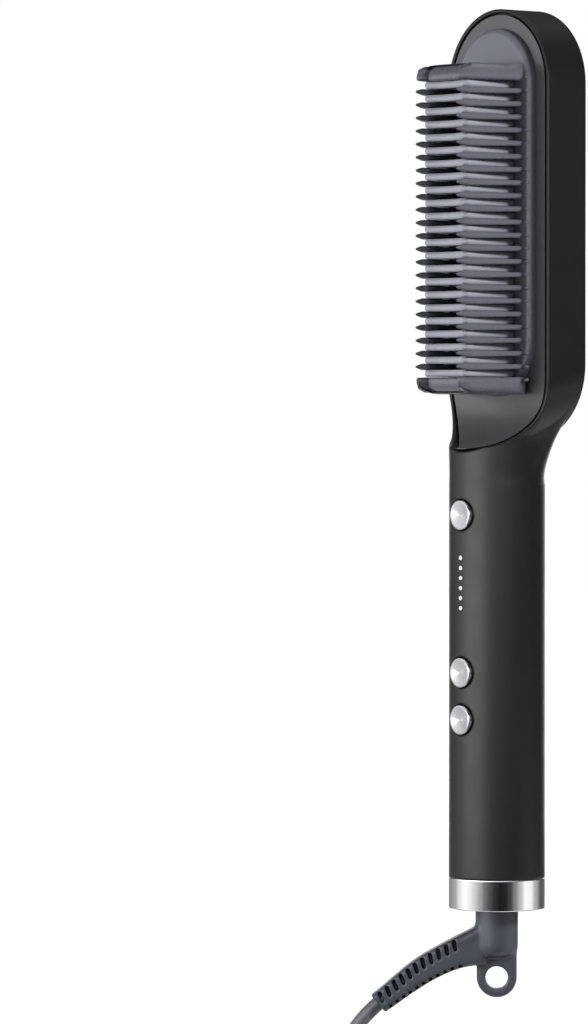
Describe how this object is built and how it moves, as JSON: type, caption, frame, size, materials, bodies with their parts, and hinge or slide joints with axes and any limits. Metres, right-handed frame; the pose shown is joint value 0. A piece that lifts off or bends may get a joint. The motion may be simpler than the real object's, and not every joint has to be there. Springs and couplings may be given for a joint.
{
  "type": "heated hair straightening brush",
  "caption": "Round handle with push buttons and indicator lights, flat oval head with a ladder comb over heated fins, coloured back ring and a mains lead on a swivel.",
  "frame": {"origin": "on the handle's axis at the middle of the grip", "axes": "+Z along the handle towards the head, the comb points to -Y, +X right seen from the comb side"},
  "size_m": [0.0646, 0.0689, 0.4359],
  "materials": {
    "handle_plastic": "satin black ABS",
    "panel_plastic": "dark grey satin lacquer",
    "comb_plastic": "blue-grey heat-resistant nylon",
    "coated_aluminium": "ceramic-coated die-cast aluminium",
    "tile_ceramic": "fired barium titanate",
    "contact_aluminium": "rolled",
    "film": "polyimide",
    "clamp_steel": "zinc-plated",
    "screw_steel": "zinc-plated",
    "sensor_glass": "clear bead",
    "fuse_metal": "plated can",
    "ring_lacquer": "magenta metallic lacquer",
    "plate_plastic": "dark grey satin",
    "board_laminate": "solder-masked glass laminate",
    "tray_plastic": "natural nylon",
    "switch_plastic": "moulded",
    "led_resin": "epoxy",
    "light_pipe": "clear polycarbonate",
    "capacitor_case": "moulded case",
    "relay_case": "moulded case",
    "chip_resin": "moulded",
    "lead_sleeve": "silicone sleeve",
    "bright_ring": "polished plating",
    "bush_plastic": "acetal",
    "contact_brass": "drawn",
    "button_metal": "spun",
    "guard_rubber": "soft grey PVC",
    "cord_sheath": "satin PVC sheath",
    "tie_wire": "plastic-coated wire",
    "plug_plastic": "moulded PVC",
    "pin_brass": "nickel-plated"
  },
  "bodies": {
    "brush": {"main_housing": "handle_plastic", "front_panel": "panel_plastic", "comb_frame": "comb_plastic", "heating_fins": "coated_aluminium", "ptc_tiles": "tile_ceramic", "electrode_plates": "contact_aluminium", "insulation_film": "film", "heater_clamp": "clamp_steel", "clamp_screws": "screw_steel", "thermistor": "sensor_glass", "thermal_fuse": "fuse_metal", "back_ring": "ring_lacquer", "back_plate": "plate_plastic", "main_board": "board_laminate", "board_tray": "tray_plastic", "tact_switches": "switch_plastic", "status_leds": "led_resin", "led_light_pipes": "light_pipe", "film_capacitor": "capacitor_case", "relay": "relay_case", "control_chip": "chip_resin", "heater_leads": "lead_sleeve", "supply_leads": "lead_sleeve", "end_ring": "bright_ring", "swivel_bush": "bush_plastic", "bush_cap": "bush_plastic", "brush_contacts": "contact_brass"},
    "power_key": {"power_button": "button_metal"},
    "plus_key": {"plus_button": "button_metal"},
    "minus_key": {"minus_button": "button_metal"},
    "swivel": {"swivel_stub": "bush_plastic", "slip_rings": "contact_brass", "cord_guard": "guard_rubber", "cord_hank": "cord_sheath", "hank_tie": "tie_wire", "power_cord": "cord_sheath", "cord_tail": "cord_sheath", "plug_body": "plug_plastic", "plug_pins": "pin_brass"}
  },
  "joints": [
    {"name": "power_press", "type": "slide", "parent": "brush", "child": "power_key", "axis": [0, 1, 0], "range_m": [0, 0.0006], "stiffness_N_per_m": 800, "springref_m": -0.0005},
    {"name": "plus_press", "type": "slide", "parent": "brush", "child": "plus_key", "axis": [0, 1, 0], "range_m": [0, 0.0006], "stiffness_N_per_m": 800, "springref_m": -0.0005},
    {"name": "minus_press", "type": "slide", "parent": "brush", "child": "minus_key", "axis": [0, 1, 0], "range_m": [0, 0.0006], "stiffness_N_per_m": 800, "springref_m": -0.0005},
    {"name": "cord_swivel", "type": "hinge", "parent": "brush", "child": "swivel", "pos_m": [0, 0, -0.066], "axis": [0, 0, 1], "continuous": true}
  ]
}
